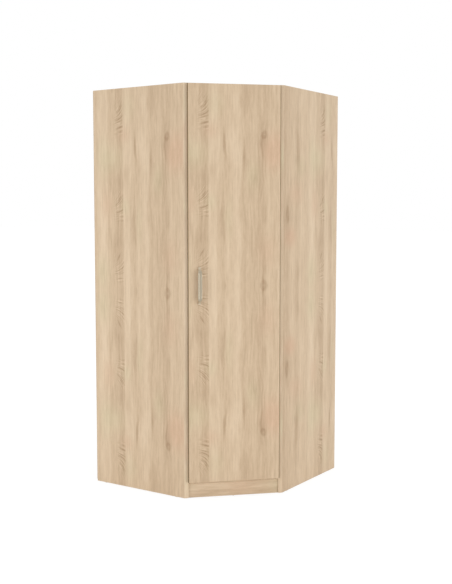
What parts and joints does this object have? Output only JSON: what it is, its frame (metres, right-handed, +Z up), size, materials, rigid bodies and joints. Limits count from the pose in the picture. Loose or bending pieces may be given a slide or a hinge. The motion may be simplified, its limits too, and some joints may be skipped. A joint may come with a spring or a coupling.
{
  "type": "corner wardrobe",
  "caption": "Tall five-sided corner wardrobe in pale oak-grain board, with a full-height diagonal door, bow handle, plinth, hat shelf and hanging rail.",
  "frame": {"origin": "on the floor, under the middle of the bounding box", "axes": "+Z up; the room corner is at -X +Y, the back panels stand on the -X and +Y sides, and the door looks towards +X -Y"},
  "size_m": [1, 1, 2.2],
  "materials": {
    "oak_laminate": "satin oak-grain laminate",
    "fibreboard": "matt",
    "brushed_nickel": "brushed",
    "chromed_steel": "polished",
    "zinc_steel": "satin plated",
    "plastic": "matt"
  },
  "bodies": {
    "cabinet": {"side_panel_left": "oak_laminate", "side_panel_right": "oak_laminate", "top_panel": "oak_laminate", "bottom_panel": "oak_laminate", "rear_post": "oak_laminate", "hat_shelf": "oak_laminate", "plinth_front": "oak_laminate", "plinth_rear_left": "oak_laminate", "plinth_rear_right": "oak_laminate", "back_panel_left": "fibreboard", "back_panel_right": "fibreboard", "shelf_pin_left_1": "zinc_steel", "shelf_pin_left_2": "zinc_steel", "shelf_pin_right_1": "zinc_steel", "shelf_pin_right_2": "zinc_steel", "glide_left_rear": "plastic", "glide_left_front": "plastic", "glide_right_rear": "plastic", "glide_right_front": "plastic", "glide_corner": "plastic", "glide_front": "plastic", "hanging_rail": "chromed_steel", "rail_bracket_left": "chromed_steel", "rail_bracket_right": "chromed_steel", "hinge_plate_1": "zinc_steel", "hinge_plate_2": "zinc_steel", "hinge_plate_3": "zinc_steel", "hinge_plate_4": "zinc_steel", "hinge_arm_1": "zinc_steel", "hinge_arm_2": "zinc_steel", "hinge_arm_3": "zinc_steel", "hinge_arm_4": "zinc_steel"},
    "link_1": {"hinge_link_1": "zinc_steel"},
    "link_2": {"hinge_link_2": "zinc_steel"},
    "link_3": {"hinge_link_3": "zinc_steel"},
    "link_4": {"hinge_link_4": "zinc_steel"},
    "door": {"door": "oak_laminate", "handle": "brushed_nickel", "handle_screw_1": "zinc_steel", "handle_screw_2": "zinc_steel", "door_bumper_bottom": "plastic", "door_bumper_top": "plastic", "hinge_cup_1": "zinc_steel", "hinge_cup_2": "zinc_steel", "hinge_cup_3": "zinc_steel", "hinge_cup_4": "zinc_steel"}
  },
  "joints": [
    {"name": "link_swing_1", "type": "hinge", "parent": "cabinet", "child": "link_1", "pos_m": [0.45856, -0.15647, 0.19], "axis": [0, 0, 1], "range_deg": [-35.1, 0]},
    {"name": "link_swing_2", "type": "hinge", "parent": "cabinet", "child": "link_2", "pos_m": [0.45856, -0.15647, 0.82567], "axis": [0, 0, 1], "range_deg": [-35.1, 0]},
    {"name": "link_swing_3", "type": "hinge", "parent": "cabinet", "child": "link_3", "pos_m": [0.45856, -0.15647, 1.46133], "axis": [0, 0, 1], "range_deg": [-35.1, 0]},
    {"name": "link_swing_4", "type": "hinge", "parent": "cabinet", "child": "link_4", "pos_m": [0.45856, -0.15647, 2.097], "axis": [0, 0, 1], "range_deg": [-35.1, 0]},
    {"name": "door_swing", "type": "hinge", "parent": "link_4", "child": "door", "pos_m": [0.48211, -0.14395, 2.097], "axis": [0, 0, 1], "range_deg": [0, 130]}
  ],
  "couplings": [
    {"joint": "link_swing_1", "follows": "door_swing", "ratio": -0.27},
    {"joint": "link_swing_2", "follows": "door_swing", "ratio": -0.27},
    {"joint": "link_swing_3", "follows": "door_swing", "ratio": -0.27},
    {"joint": "link_swing_4", "follows": "door_swing", "ratio": -0.27}
  ]
}
